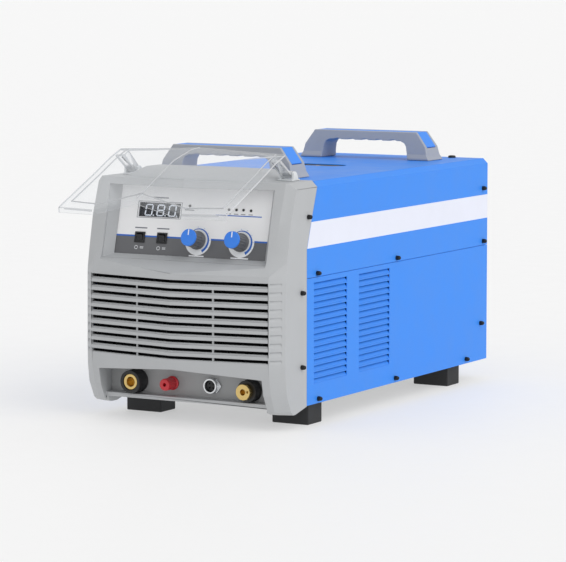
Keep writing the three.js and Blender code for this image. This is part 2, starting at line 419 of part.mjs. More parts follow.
// sweep the front corners back, then turn the lip down
visor = cut(visor, ...[-1, 1].map((s) => hull([[s * 69, -190], [s * 140, -190], [s * 140, -170.2], [s * 69, -183.8]].flatMap(([x, y]) => [[x, y, 250], [x, y, 320]]))));
const lipLine = [[-133, -171.6, 273.2], [-69, -183.5, 273.4], [0, -183.5, 290.4], [69, -183.5, 273.4], [133, -171.6, 273.2]];
for (let i = 0; i < 4; i++) {
  visor = visor.add(hull([lipLine[i], lipLine[i + 1]].flatMap(([x, y, z]) => [[x, y, z - 5.4], [x, y, z + 1.2], [x, y + 2.8, z - 5.4], [x, y + 2.8, z + 1.2]])));
}
for (const s of [-1, 1]) {
  const flange = hull([[133, -27, 336.5], [133, -24, 339], [133, 3, 315.8], [133, 6, 318.6], [118, -27, 336.8], [118, -24, 339.4], [118, 3, 315.8], [118, 6, 318.6]].map(([x, y, z]) => [s * x, y, z]));
  const web = hull([[121, -28, 336.6], [121, -14, 343.8], [121, 2, 314.4], [121, 11, 321.6], [118, -28, 336.6], [118, -14, 343.8], [118, 2, 314.4], [118, 11, 321.6]].map(([x, y, z]) => [s * x, y, z]));
  const knuckle = s > 0 ? cylX(HINGE_Y, HINGE_Z, 5.2, 118, 133, 20) : cylX(HINGE_Y, HINGE_Z, 5.2, -133, -118, 20);
  visor = visor.add(flange).add(web).add(knuckle);
}
visor = visor.subtract(cylX(HINGE_Y, HINGE_Z, 2.7, -140, 140, 16));
piece('visor', visor, CLEAR);
for (const [name, s] of [['left', -1], ['right', 1]]) {
  const b = join(box(s * 114, s * 137.4, HINGE_Y - 9, HINGE_Y + 13, 309.3, 311.4),
    ...[[114, 117.4], [133.9, 137.4]].map(([a, c]) => hull([[HINGE_Y - 5, 311], [HINGE_Y + 9, 311], [HINGE_Y - 4.6, 320], [HINGE_Y + 4.6, 320], [HINGE_Y, 322.4]].flatMap(([y, z]) => [[s * a, y, z], [s * c, y, z]]))),
    s > 0 ? cylX(HINGE_Y, HINGE_Z, 2.3, 115, 136, 14) : cylX(HINGE_Y, HINGE_Z, 2.3, -136, -115, 14));
  piece(`visor_hinge_${name}`, b, LIGHT);
}

// ---- rear fittings, fan ------------------------------------------------------------------------------
let guard = cylY(FAN_X, FAN_Z, 8, 568.3, 571.3, 24);
for (const r of [22, 37, 52]) guard = guard.add(alongY(circle(FAN_X, FAN_Z, r + 1.3, 24), 568.8, 571.3, [circle(FAN_X, FAN_Z, r - 1.3, 24)]));
for (let i = 0; i < 4; i++) {
  const a = Math.PI / 4 + (i * Math.PI) / 2, c = Math.cos(a), s = Math.sin(a);
  guard = guard.add(alongY([[FAN_X + 6 * c + 1.8 * s, FAN_Z + 6 * s - 1.8 * c], [FAN_X + 76 * c + 1.8 * s, FAN_Z + 76 * s - 1.8 * c], [FAN_X + 76 * c - 1.8 * s, FAN_Z + 76 * s + 1.8 * c], [FAN_X + 6 * c - 1.8 * s, FAN_Z + 6 * s + 1.8 * c]], 568.3, 570.6));
  guard = guard.add(cylY(FAN_X + 74.2 * c, FAN_Z + 74.2 * s, 5, 568.3, 570.6, 10));
}
piece('fan_guard', guard, BLACK);
let fanFrame = alongY([[FAN_X - 60, FAN_Z - 60], [FAN_X + 60, FAN_Z - 60], [FAN_X + 60, FAN_Z + 60], [FAN_X - 60, FAN_Z + 60]], 536, 566, [circle(FAN_X, FAN_Z, 57, 40)]);
fanFrame = fanFrame.add(cylY(FAN_X, FAN_Z, 19, 561, 566, 28));
for (let i = 0; i < 4; i++) {
  const a = (i * Math.PI) / 2 + 0.3, c = Math.cos(a), s = Math.sin(a);
  fanFrame = fanFrame.add(alongY([[FAN_X + 16 * c + 2.5 * s, FAN_Z + 16 * s - 2.5 * c], [FAN_X + 57.8 * c + 2.5 * s, FAN_Z + 57.8 * s - 2.5 * c], [FAN_X + 57.8 * c - 2.5 * s, FAN_Z + 57.8 * s + 2.5 * c], [FAN_X + 16 * c - 2.5 * s, FAN_Z + 16 * s + 2.5 * c]], 562.5, 566));
}
piece('fan_frame', fanFrame.subtract(cylY(FAN_X, FAN_Z, 3.4, 555, 564.6, 14)), BLACK);
let rotor = cylY(FAN_X, FAN_Z, 19, 539, 560.4, 28).add(cylY(FAN_X, FAN_Z, 3, 560, 564, 12));
for (let i = 0; i < 7; i++) {
  const blade = new THREE.BoxGeometry(38, 1.6, 22).rotateX(0.75).translate(36, 550, 0);
  blade.applyMatrix4(new THREE.Matrix4().makeRotationY((2 * Math.PI * i) / 7)).translate(FAN_X, 0, FAN_Z);
  rotor = rotor.add(solid(blade));
}
piece('fan_rotor', rotor, BLACK);
piece('cable_gland', cut(join(cylY(...GLAND, 15, 568.2, 574, 6), cylY(...GLAND, 12.4, 573.5, 590, 24), cylY(...GLAND, 9.2, 560, 569, 20), cylY(...GLAND, 13, 558, 566, 6)),
  cylY(...GLAND, 6, 550, 600, 20)), BLACK);
piece('air_inlet', cut(join(cylY(...INLET, 11, 568.2, 576, 6), turnedY([[0, 0], [5.6, 0], [5.6, 1], [6.6, 1], [5.2, 6], [6.6, 6], [5.2, 11], [6.4, 11], [5, 17.6], [0, 17.6]], INLET[0], 575.9, INLET[1], 14),
  cylY(...INLET, 6.2, 548, 569, 20), cylY(...INLET, 10, 559, 566, 6)),
  cylY(...INLET, 3.2, 540, 600, 16)), BRASS);
const BX = BREAKER_X, BZ = BREAKER_Z;
piece('breaker_body', cut(join(
  box(BX - 30, BX + 30, 568.2, 572, BZ - 27, BZ + 27), box(BX - 25.6, BX + 25.6, 520, 570, BZ - 22.6, BZ + 22.6)),
  box(BX - 12, BX + 12, 560, 580, BZ - 10.6, BZ + 10.6)), BLACK);
const LEVER_Y = 567;        // breaker lever pivot
const lever = cylX(LEVER_Y, BZ, 6, BX - 10.6, BX + 10.6, 20).add(hull([[LEVER_Y, -4], [LEVER_Y, 5.4], [583, 4.6], [583, 8.4]]
  .flatMap(([y, z]) => [[BX - 9, y, BZ + z], [BX + 9, y, BZ + z]])));
piece('breaker_toggle', lever, DARK);

// ---- parts inside ------------------------------------------------------------------------------------------
let sink = box(-70, 70, 110, 330, 70, 78);
for (let i = 0; i <= 13; i++) sink = sink.add(box(-70 + i * 10.6, -67.8 + i * 10.6, 110, 330, 22, 71));
piece('heatsink', sink, ALU);
piece('power_board', join(box(-100, 100, 90, 350, 92, 94), ...[[-60, 120], [60, 120], [-60, 318], [60, 318]].map(([x, y]) => cylZ(x, y, 3, 78.3, 92.4, 10)),
  ...[-46, -16, 16, 46].map((x) => box(x - 8, x + 8, 200, 221, 78.3, 92.4))), GREEN);
for (const [name, x] of [['left', -62], ['right', 62]]) piece(`bus_capacitor_${name}`, cylZ(x, 150, 17.5, 94.3, 146, 24), DARK);
piece('transformer_core', cut(box(-45, 45, 262, 338, 94.4, 176), box(-28, -15, 250, 350, 112, 158), box(15, 28, 250, 350, 112, 158)), DARK);
piece('transformer_winding', alongZ([[-27.6, 256], [-21, 249], [21, 249], [27.6, 256], [27.6, 344], [21, 351], [-21, 351], [-27.6, 344]], 114, 156,
  [[[-15.4, 261.6], [15.4, 261.6], [15.4, 338.4], [-15.4, 338.4]]]), COPPER);
// toroidal output choke standing on its bracket
piece('output_reactor', join(solid(new THREE.TorusGeometry(30, 13, 8, 16).rotateX(Math.PI / 2).translate(-95, 420, 56)),
  box(-107, -83, 406, 434, 1.8, 22)), COPPER);
piece('solenoid_valve', join(box(92, 128, 480, 512, 46, 78), cylZ(110, 496, 11, 77, 108, 20), cylY(112, 62, 5.5, 470, 481, 16), cylY(112, 62, 5.5, 511, 530, 16)), BRASS);
piece('pilot_arc_unit', join(box(-140, -96, 120, 190, 22, 82), cylZ(-118, 140, 8, 81, 96, 16), cylZ(-118, 168, 8, 81, 96, 16)), DARK);

// ---- fasteners -------------------------------------------------------------------------------------------------
for (const [name, s] of [['left', -1], ['right', 1]]) {
  const [y, z] = BEZEL_SCREWS[1];
  // pan head with a cross recess
  const m = join(cylX(y, z, 3.3, HW + 0.3, HW + 5.8, 20), cylX(y, z, 2.6, HW + 5.7, HW + 6.6, 20), cylX(y, z, 1.6, HW - 8, HW + 0.5, 12)).subtract(
    join(box(HW + 5, HW + 7, y - 1.9, y + 1.9, z - 0.4, z + 0.4), box(HW + 5, HW + 7, y - 0.4, y + 0.4, z - 1.9, z + 1.9)));
  piece(`bezel_screw_${name}`, s > 0 ? m : mirrorX(m), BLACK);
}

export default unit;
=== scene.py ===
import json
import math

import bmesh
import bpy
from mathutils import Matrix, Vector

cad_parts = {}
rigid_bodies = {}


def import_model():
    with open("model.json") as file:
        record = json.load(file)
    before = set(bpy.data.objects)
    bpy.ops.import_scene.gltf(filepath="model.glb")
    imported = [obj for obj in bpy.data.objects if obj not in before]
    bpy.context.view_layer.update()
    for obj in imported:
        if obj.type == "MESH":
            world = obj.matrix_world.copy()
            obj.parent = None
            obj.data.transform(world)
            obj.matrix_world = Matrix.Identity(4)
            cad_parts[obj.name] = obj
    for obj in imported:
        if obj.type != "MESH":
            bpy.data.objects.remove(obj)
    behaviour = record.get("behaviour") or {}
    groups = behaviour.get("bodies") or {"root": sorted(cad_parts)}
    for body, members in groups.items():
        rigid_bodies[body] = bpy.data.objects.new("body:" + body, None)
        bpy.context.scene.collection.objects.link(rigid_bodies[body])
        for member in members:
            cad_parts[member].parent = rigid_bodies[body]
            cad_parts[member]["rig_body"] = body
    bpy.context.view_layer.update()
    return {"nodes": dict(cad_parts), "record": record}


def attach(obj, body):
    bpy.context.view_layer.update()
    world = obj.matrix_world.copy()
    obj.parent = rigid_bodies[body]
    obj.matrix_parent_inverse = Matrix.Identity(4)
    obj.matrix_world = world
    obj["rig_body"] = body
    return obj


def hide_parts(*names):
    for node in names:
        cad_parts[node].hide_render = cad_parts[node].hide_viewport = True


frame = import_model()
nodes = frame["nodes"]

# ---------------------------------------------------------------------------------------------
# frame: the unit's own datum is the bezel joint (Y) and the case underside (Z), in millimetres
# ---------------------------------------------------------------------------------------------
OY, OZ = 0.205, 0.031
TILT = -0.24737


def P(x, y, z):
    return Vector((x / 1000, y / 1000 - OY, z / 1000 + OZ))


PANEL = Matrix.Translation(P(0, -48.4, 202.9)) @ Matrix.Rotation(TILT, 4, "X")


def on_panel(x, y, z):
    return PANEL @ Matrix.Translation(Vector((x, y, z)) / 1000)


# ---------------------------------------------------------------------------------------------
# materials
# ---------------------------------------------------------------------------------------------
def lin(h):
    c = [int(h[i : i + 2], 16) / 255 for i in (1, 3, 5)]
    return tuple(v / 12.92 if v <= 0.04045 else ((v + 0.055) / 1.055) ** 2.4 for v in c) + (1.0,)


def tree(name):
    m = bpy.data.materials.new(name)
    m.use_nodes = True
    nt = m.node_tree
    nt.nodes.clear()
    return m, nt


def node(nt, kind, **values):
    n = nt.nodes.new(kind)
    for k, v in values.items():
        if hasattr(n, k):
            setattr(n, k, v)
        else:
            n.inputs[k.replace("_", " ")].default_value = v
    return n


def shade(c, f):
    return (min(1, c[0] * f), min(1, c[1] * f), min(1, c[2] * f), 1.0)


def surface(name, color, rough=0.5, metal=0.0, vary=0.05, grain=1400.0, bump=0.12, depth=0.00012, rough_vary=0.06,
            mottle=22.0, stretch=(1, 1, 1), coat=0.0, spec=0.5, turned=0.0, dust=0.0):
    """Colour mottling, a fine grain in the bump, and an uneven roughness, all from object-space noise."""
    m, nt = tree(name)
    out = node(nt, "ShaderNodeOutputMaterial")
    bsdf = node(nt, "ShaderNodeBsdfPrincipled")
    bsdf.inputs["Metallic"].default_value = metal
    bsdf.inputs["Specular IOR Level"].default_value = spec
    if coat:
        bsdf.inputs["Coat Weight"].default_value = coat
        bsdf.inputs["Coat Roughness"].default_value = 0.12
    co = node(nt, "ShaderNodeTexCoord")
    mp = node(nt, "ShaderNodeMapping")
    mp.inputs["Scale"].default_value = stretch
    nt.links.new(co.outputs["Object"], mp.inputs["Vector"])
    big = node(nt, "ShaderNodeTexNoise")
    big.inputs["Scale"].default_value = mottle
    big.inputs["Detail"].default_value = 5
    big.inputs["Roughness"].default_value = 0.55
    nt.links.new(mp.outputs["Vector"], big.inputs["Vector"])
    ramp = node(nt, "ShaderNodeValToRGB")
    ramp.color_ramp.elements[0].position = 0.32
    ramp.color_ramp.elements[1].position = 0.68
    ramp.color_ramp.elements[0].color = shade(color, 1 - vary)
    ramp.color_ramp.elements[1].color = shade(color, 1 + vary)
    nt.links.new(big.outputs["Fac"], ramp.inputs["Fac"])
    colour = ramp.outputs["Color"]
    fine = node(nt, "ShaderNodeTexNoise")
    fine.inputs["Scale"].default_value = grain
    fine.inputs["Detail"].default_value = 3
    nt.links.new(mp.outputs["Vector"], fine.inputs["Vector"])
    if dust:
        speck = node(nt, "ShaderNodeValToRGB")
        speck.color_ramp.elements[0].position = 0.5
        speck.color_ramp.elements[1].position = 0.8
        speck.color_ramp.elements[0].color = (0, 0, 0, 1)
        speck.color_ramp.elements[1].color = (1, 1, 1, 1)
        nt.links.new(fine.outputs["Fac"], speck.inputs["Fac"])
        mix = node(nt, "ShaderNodeMix", data_type="RGBA", blend_type="MIX")
        scale = node(nt, "ShaderNodeMath", operation="MULTIPLY")
        scale.inputs[1].default_value = dust
        nt.links.new(speck.outputs["Color"], scale.inputs[0])
        nt.links.new(scale.outputs[0], mix.inputs["Factor"])
        nt.links.new(colour, mix.inputs["A"])
        mix.inputs["B"].default_value = shade(color, 1.6)
        colour = mix.outputs["Result"]
    nt.links.new(colour, bsdf.inputs["Base Color"])
    rg = node(nt, "ShaderNodeMapRange")
    rg.inputs["From Min"].default_value = 0.3
    rg.inputs["From Max"].default_value = 0.7
    rg.inputs["To Min"].default_value = max(0.02, rough - rough_vary)
    rg.inputs["To Max"].default_value = min(1.0, rough + rough_vary)
    nt.links.new(big.outputs["Fac"], rg.inputs["Value"])
    nt.links.new(rg.outputs["Result"], bsdf.inputs["Roughness"])
    height = fine.outputs["Fac"]
    if turned:
        wave = node(nt, "ShaderNodeTexWave", wave_type="RINGS", rings_direction="Y")
        wave.inputs["Scale"].default_value = turned
        wave.inputs["Distortion"].default_value = 0.4
        nt.links.new(co.outputs["Object"], wave.inputs["Vector"])
        add = node(nt, "ShaderNodeMath", operation="ADD")
        nt.links.new(wave.outputs["Fac"], add.inputs[0])
        nt.links.new(height, add.inputs[1])
        height = add.outputs[0]
    bp = node(nt, "ShaderNodeBump")
    bp.inputs["Strength"].default_value = bump
    bp.inputs["Distance"].default_value = depth
    nt.links.new(height, bp.inputs["Height"])
    nt.links.new(bp.outputs["Normal"], bsdf.inputs["Normal"])
    nt.links.new(bsdf.outputs["BSDF"], out.inputs["Surface"])
    return m


def clear(name, tint, low, high, rough=0.06, milk=(0.9, 0.92, 0.94, 1)):
    """Clear moulded sheet: mostly see-through, whiter and glossier towards grazing angles."""
    m, nt = tree(name)
    out = node(nt, "ShaderNodeOutputMaterial")
    glass = node(nt, "ShaderNodeBsdfTransparent")
    glass.inputs["Color"].default_value = tint
    skin = node(nt, "ShaderNodeBsdfPrincipled")
    skin.inputs["Base Color"].default_value = milk
    co = node(nt, "ShaderNodeTexCoord")
    haze = node(nt, "ShaderNodeTexNoise")
    haze.inputs["Scale"].default_value = 35
    haze.inputs["Detail"].default_value = 4
    nt.links.new(co.outputs["Object"], haze.inputs["Vector"])
    rg = node(nt, "ShaderNodeMapRange")
    rg.inputs["To Min"].default_value = rough * 0.5
    rg.inputs["To Max"].default_value = rough * 1.6
    nt.links.new(haze.outputs["Fac"], rg.inputs["Value"])
    nt.links.new(rg.outputs["Result"], skin.inputs["Roughness"])
    lw = node(nt, "ShaderNodeLayerWeight")
    lw.inputs["Blend"].default_value = 0.35
    fac = node(nt, "ShaderNodeMapRange")
    fac.inputs["To Min"].default_value = low
    fac.inputs["To Max"].default_value = high
    nt.links.new(lw.outputs["Facing"], fac.inputs["Value"])
    wob = node(nt, "ShaderNodeMath", operation="MULTIPLY_ADD")
    wob.inputs[1].default_value = 0.03
    nt.links.new(haze.outputs["Fac"], wob.inputs[0])
    nt.links.new(fac.outputs["Result"], wob.inputs[2])
    mix = node(nt, "ShaderNodeMixShader")
    nt.links.new(wob.outputs[0], mix.inputs["Fac"])
    nt.links.new(glass.outputs["BSDF"], mix.inputs[1])
    nt.links.new(skin.outputs["BSDF"], mix.inputs[2])
    nt.links.new(mix.outputs["Shader"], out.inputs["Surface"])
    return m


def glow(name, color, strength):
    """Lit display segment or indicator: a little light of its own over a plastic body."""
    m = surface(name, color, rough=0.35, vary=0.03, bump=0.02)
    bsdf = next(n for n in m.node_tree.nodes if n.type == "BSDF_PRINCIPLED")
    bsdf.inputs["Emission Color"].default_value = color
    bsdf.inputs["Emission Strength"].default_value = strength
    return m


M = {
    "bezel_grey": surface("moulded_bezel_grey", lin("#b4b6b8"), rough=0.5, vary=0.025, grain=2600, bump=0.16, depth=0.00008),
    "handle_grey": surface("moulded_handle_grey", lin("#a9acb2"), rough=0.48, vary=0.03, grain=2600, bump=0.18, depth=0.00008),
    "case_blue": surface("powder_coat_blue", lin("#3b8df1"), rough=0.46, vary=0.02, grain=900, bump=0.10, depth=0.00010, spec=0.3),
    "stripe_white": surface("powder_coat_white", lin("#e6e9f6"), rough=0.38, vary=0.015, grain=900, bump=0.10, depth=0.00010),
    "inlay_blue": surface("satin_inlay_blue", lin("#3b8df1"), rough=0.46, vary=0.02, grain=1800, bump=0.12, depth=0.00006),
    "panel_face": surface("printed_film", lin("#f2f2f3"), rough=0.34, vary=0.015, grain=3000, bump=0.05, depth=0.00004),
    "band_grey": surface("printed_film_dark", lin("#66676a"), rough=0.36, vary=0.02, grain=3000, bump=0.05, depth=0.00004),
    "print_navy": surface("print_blue", lin("#2d66c0"), rough=0.4, vary=0.03, grain=3000, bump=0.04, depth=0.00003),
    "print_white": surface("print_white", lin("#eef0f3"), rough=0.4, vary=0.02, grain=3000, bump=0.04, depth=0.00003),
    "print_grey": surface("print_grey", lin("#7c7f86"), rough=0.4, vary=0.03, grain=3000, bump=0.04, depth=0.00003),
    "display_dark": surface("display_black", lin("#1d2226"), rough=0.2, vary=0.08, grain=2500, bump=0.03, depth=0.00003),
    "circuit_board": surface("solder_mask_green", lin("#2c6340"), rough=0.45, vary=0.12, grain=900, bump=0.25, depth=0.0002),
    "black_plastic": surface("moulded_black", lin("#1c1d1f"), rough=0.42, vary=0.08, grain=2600, bump=0.2, depth=0.00007),
    "knob_grey": surface("moulded_knob_grey", lin("#5f6063"), rough=0.45, vary=0.06, grain=2600, bump=0.2, depth=0.00006),
    "knob_blue": surface("knob_cap_blue", lin("#347fe4"), rough=0.3, vary=0.03, grain=2600, bump=0.08, depth=0.00005, turned=120),
    "board_grey": surface("moulded_board_grey", lin("#a2a3a4"), rough=0.5, vary=0.03, grain=2200, bump=0.18, depth=0.00008),
    "brass": surface("turned_brass", lin("#d9bd7c"), rough=0.24, metal=1.0, vary=0.06, grain=1600, bump=0.18, depth=0.00006, turned=260),
    "red_plastic": surface("gloss_red", lin("#c81a29"), rough=0.24, vary=0.04, grain=2200, bump=0.08, depth=0.00005, coat=0.3),
    "chrome": surface("plated_chrome", lin("#d9dbdd"), rough=0.16, metal=1.0, vary=0.03, grain=1500, bump=0.08, depth=0.00004),
    "bright_steel": surface("zinc_steel", lin("#a9abad"), rough=0.38, metal=1.0, vary=0.08, grain=700, bump=0.14, depth=0.0001, stretch=(1, 8, 1)),
    # near-black sheet material: painted shade, put behind slots and louvres where the case should only look dark
    "shade_sheet_black": surface("shade_sheet_black", lin("#0e0e10"), rough=0.95, vary=0.3, grain=1100, bump=0.8, depth=0.0006, spec=0.05),
    "black_steel": surface("black_oxide", lin("#17181a"), rough=0.36, metal=0.3, vary=0.12, grain=1800, bump=0.2, depth=0.00006),
    "foot_rubber": surface("moulded_rubber", lin("#222325"), rough=0.62, vary=0.08, grain=1500, bump=0.3, depth=0.00012, dust=0.1),
    "hinge_plastic": surface("hinge_pale", lin("#dfe2e4"), rough=0.35, vary=0.02, grain=2400, bump=0.1, depth=0.00006),
    "aluminium": surface("extruded_aluminium", lin("#b9bbbe"), rough=0.34, metal=1.0, vary=0.05, grain=600, bump=0.16, depth=0.0001, stretch=(1, 0.08, 1)),
    "capacitor_sleeve": surface("capacitor_sleeve", lin("#1e2848"), rough=0.3, vary=0.05, grain=1600, bump=0.08, depth=0.00006),
    "ferrite": surface("sintered_ferrite", lin("#3b3b3c"), rough=0.7, vary=0.12, grain=1100, bump=0.4, depth=0.0002),
    "copper": surface("enamelled_copper", lin("#b06a38"), rough=0.3, metal=0.8, vary=0.12, grain=500, bump=0.4, depth=0.0003, stretch=(1, 1, 6)),
    "clear_plastic": clear("clear_acrylic", (0.985, 0.988, 0.992, 1), 0.02, 0.2),
    # sheet edges, beads and ridge line: the milky white is painted glint and the darker see-through is painted shade,
    # copying the light lines along them
    "clear_edge_glint_shade": clear("clear_acrylic_edge_glint_shade", (0.5, 0.52, 0.55, 1), 0.34, 0.85, rough=0.08, milk=(0.94, 0.95, 0.96, 1)),
    "display_lens": clear("smoked_lens", (0.86, 0.87, 0.89, 1), 0.05, 0.5, rough=0.04, milk=(0.25, 0.26, 0.28, 1)),
    "lcd_lit": glow("display_segment", lin("#f0f4f8"), 0.75),
    "led_dark": surface("indicator_dark", lin("#2c2d30"), rough=0.2, vary=0.05, grain=2500, bump=0.03, depth=0.00004),
    "led_dim": surface("indicator_unlit", lin("#b9bdc2"), rough=0.2, vary=0.03, grain=2500, bump=0.03, depth=0.00004),
}

SLOTS = {}
for m_ in frame["record"].get("materials", []):
    for n_ in m_.get("nodes", []) or []:
        SLOTS[n_] = m_["slot"]
SLOT = {
    "front_bezel": "bezel_grey", "control_panel": "panel_face", "display_window": "display_lens", "display_module": "display_dark",
    "control_board": "circuit_board", "rocker_switch_body_left": "black_plastic", "rocker_switch_body_right": "black_plastic",
    "potentiometer_left": "bright_steel", "potentiometer_right": "bright_steel", "connector_board": "board_grey",
    "work_socket_body": "black_plastic", "work_socket_contact": "brass", "pilot_terminal": "red_plastic",
    "trigger_socket_shell": "chrome", "trigger_socket_insert": "black_plastic", "torch_connector_flange": "black_plastic",
    "torch_connector_body": "brass", "top_cover": "case_blue", "side_panel_right": "case_blue", "side_panel_left": "case_blue",
    "base_tray": "bright_steel", "rear_panel": "case_blue", "front_bulkhead": "bright_steel", "lifting_cup": "bright_steel",
    "lifting_eye": "brass", "front_handle": "handle_grey", "rear_handle": "handle_grey", "front_handle_inlay": "inlay_blue",
    "rear_handle_inlay": "inlay_blue", "foot_front_left": "foot_rubber", "foot_front_right": "foot_rubber",
    "foot_rear_left": "foot_rubber", "foot_rear_right": "foot_rubber", "visor_hinge_left": "hinge_plastic",
    "visor_hinge_right": "hinge_plastic", "fan_guard": "black_plastic", "fan_frame": "black_plastic", "cable_gland": "black_plastic",
    "air_inlet": "brass", "breaker_body": "black_plastic", "heatsink": "aluminium", "power_board": "circuit_board",
    "bus_capacitor_left": "capacitor_sleeve", "bus_capacitor_right": "capacitor_sleeve", "transformer_core": "ferrite",
    "transformer_winding": "copper", "output_reactor": "copper", "solenoid_valve": "brass", "pilot_arc_unit": "black_plastic",
    "bezel_screw_left": "black_steel", "bezel_screw_right": "black_steel", "visor": "clear_plastic", "knob_left": "knob_grey",
    "knob_right": "knob_grey", "knob_cap_left": "knob_blue", "knob_cap_right": "knob_blue", "rocker_left": "black_plastic",
    "rocker_right": "black_plastic", "fan_rotor": "black_plastic", "breaker_toggle": "black_plastic",
}


# ---------------------------------------------------------------------------------------------
# mesh helpers
# ---------------------------------------------------------------------------------------------
def place(name, bm, mats, body, matrix=None, sharp=35.0, bevel=0.0, segs=3, angle=30.0, replaces=(), weld=True, wide=None):
    """A finished object from a bmesh: smooth shading with sharp edges kept, rolled edges, on its body."""
    if weld:
        bmesh.ops.remove_doubles(bm, verts=bm.verts[:], dist=2e-7)
    bmesh.ops.recalc_face_normals(bm, faces=bm.faces[:])
    if wide:
        layer = bm.edges.layers.float.new("bevel_weight_edge")
        for e in bm.edges:
            if len(e.link_faces) == 2:
                e[layer] = 1.0 if wide[0](e) else 0.0
    me = bpy.data.meshes.new(name)
    bm.to_mesh(me)
    bm.free()
    me.polygons.foreach_set("use_smooth", [True] * len(me.polygons))
    for m in mats if isinstance(mats, (list, tuple)) else [mats]:
        me.materials.append(m)
    me.set_sharp_from_angle(angle=math.radians(sharp))
    ob = bpy.data.objects.new(name, me)
    bpy.context.scene.collection.objects.link(ob)
    if matrix is not None:
        ob.matrix_world = matrix
    if wide:
        bv = ob.modifiers.new("rolled", "BEVEL")
        bv.limit_method = "WEIGHT"
        bv.width = wide[1]
        bv.segments = 4
        bv.use_clamp_overlap = True
        bv.harden_normals = False
    if bevel:
        bv = ob.modifiers.new("edges", "BEVEL")
        bv.limit_method = "ANGLE"
        bv.angle_limit = math.radians(angle)
        bv.width = bevel
        bv.segments = segs
        bv.use_clamp_overlap = False
        bv.miter_outer = "MITER_SHARP"
    if bevel or wide:
        wn = ob.modifiers.new("normals", "WEIGHTED_NORMAL")
        wn.keep_sharp = True
        wn.weight = 60
    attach(ob, body)
    if replaces:
        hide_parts(*replaces)
    return ob


def boundary_loops(faces):
    """How many separate outlines a connected patch of faces has."""
    inside = set(faces)
    rim = {}
    for f in faces:
        for e in f.edges:
            if sum(1 for g in e.link_faces if g in inside) == 1:
                for v in e.verts:
                    rim.setdefault(v, []).append(e)
    if any(len(es) != 2 for es in rim.values()) or len(rim) > 40:
        return 99
    seen, loops = set(), 0
    for v in rim:
        if v in seen:
            continue
        loops += 1
        todo = [v]
        while todo:
            w = todo.pop()
            if w in seen:
                continue
            seen.add(w)
            todo += [e.other_vert(w) for e in rim[w]]
    return loops


def cad_bmesh(name, flat=0.4):
    """The node's mesh with each flat patch that has a single outline made into one face."""
    bm = bmesh.new()
    bm.from_mesh(nodes[name].data)
    bmesh.ops.remove_doubles(bm, verts=bm.verts[:], dist=3e-6)
    bmesh.ops.dissolve_degenerate(bm, dist=4e-6, edges=bm.edges[:])
    bm.normal_update()
    limit = math.cos(math.radians(flat)) if flat else 2
    done, patches = set(), []
    for f in bm.faces:
        if f in done:
            continue
        patch, todo = [], [f]
        done.add(f)
        while todo:
            g = todo.pop()
            patch.append(g)
            for e in g.edges:
                if len(e.link_faces) != 2:
                    continue
                for h in e.link_faces:
                    if h not in done and h.normal.dot(f.normal) > limit:
                        done.add(h)
                        todo.append(h)
        if len(patch) > 1 and flat > 0 and boundary_loops(patch) == 1:
            patches.append(patch)
    for patch in patches:
        bmesh.ops.dissolve_faces(bm, faces=patch, use_verts=False)
    straight = []
    for v in bm.verts:
        if len(v.link_edges) == 2:
            a, b = (e.other_vert(v).co - v.co for e in v.link_edges)
            if a.length > 1e-9 and b.length > 1e-9 and a.normalized().dot(b.normalized()) < -0.99999:
                straight.append(v)
    if straight:
        bmesh.ops.dissolve_verts(bm, verts=straight)
    return bm


def carry(name, bevel=0.0004, segs=2, angle=30.0, sharp=35.0, edit=None, mats=None, wide=None, flat=0.4):
    """The CAD node's own shape with its edges rolled over, standing in for the node."""
    bm = cad_bmesh(name, flat)
    if edit:
        edit(bm)
    return place(name + "_skin", bm, mats or M[SLOT[name]], nodes[name]["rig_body"], bevel=bevel, segs=segs,
                 angle=angle, sharp=sharp, replaces=(name,), weld=False, wide=wide)


def lathe(profile, segs=96, closed=False, flute=None, bm=None, offset=(0, 0, 0)):
    """Turned shape about local Y from [radius, distance] in millimetres; closed for a ring-shaped section."""
    bm = bm or bmesh.new()
    ox, oy, oz = offset
    rings = []
    for i, p in enumerate(profile):
        r, y = p[0], p[1]
        if r < 1e-6:
            rings.append([bm.verts.new((ox / 1000, (oy + y) / 1000, oz / 1000))])
            continue
        ring = []
        for k in range(segs):
            a = 2 * math.pi * k / segs
            rr = r
            if flute and len(p) > 2 and p[2]:
                rr = r - flute(a) * p[2]
            ring.append(bm.verts.new(((ox + rr * math.cos(a)) / 1000, (oy + y) / 1000, (oz + rr * math.sin(a)) / 1000)))
        rings.append(ring)
    pairs = list(zip(rings, rings[1:])) + ([(rings[-1], rings[0])] if closed else [])
    for a, b in pairs:
        if len(a) == 1 and len(b) == 1:
            continue
        for k in range(segs):
            j = (k + 1) % segs
            if len(a) == 1:
                bm.faces.new((a[0], b[k], b[j]))
            elif len(b) == 1:
                bm.faces.new((a[k], b[0], a[j]))
            else:
                bm.faces.new((a[k], b[k], b[j], a[j]))
    return bm


def slab(name, outlines, y0, y1, mat, body="case", matrix=None, bevel=0.0):
    """Thin printed or moulded shapes lying on a plane: outlines in local (x, z), from y0 (front) to y1 (back), in mm."""
    bm = bmesh.new()
    for pts in outlines:
        f = [bm.verts.new((x / 1000, y0 / 1000, z / 1000)) for x, z in pts]
        b = [bm.verts.new((x / 1000, y1 / 1000, z / 1000)) for x, z in pts]
        bm.faces.new(f)
        bm.faces.new(list(reversed(b)))
        for i in range(len(pts)):
            j = (i + 1) % len(pts)
            bm.faces.new((f[j], f[i], b[i], b[j]))
    return place(name, bm, mat, body, matrix=PANEL if matrix is None else matrix, weld=False, bevel=bevel, segs=1, sharp=25)


def rect(x0, x1, z0, z1, r=0.0, n=5):
    if r <= 0:
        return [(x0, z0), (x1, z0), (x1, z1), (x0, z1)]
    pts = []
    for cx, cz, a0 in ((x1 - r, z0 + r, -90), (x1 - r, z1 - r, 0), (x0 + r, z1 - r, 90), (x0 + r, z0 + r, 180)):
        for k in range(n + 1):
            a = math.radians(a0 + 90 * k / n)
            pts.append((cx + r * math.cos(a), cz + r * math.sin(a)))
    return pts


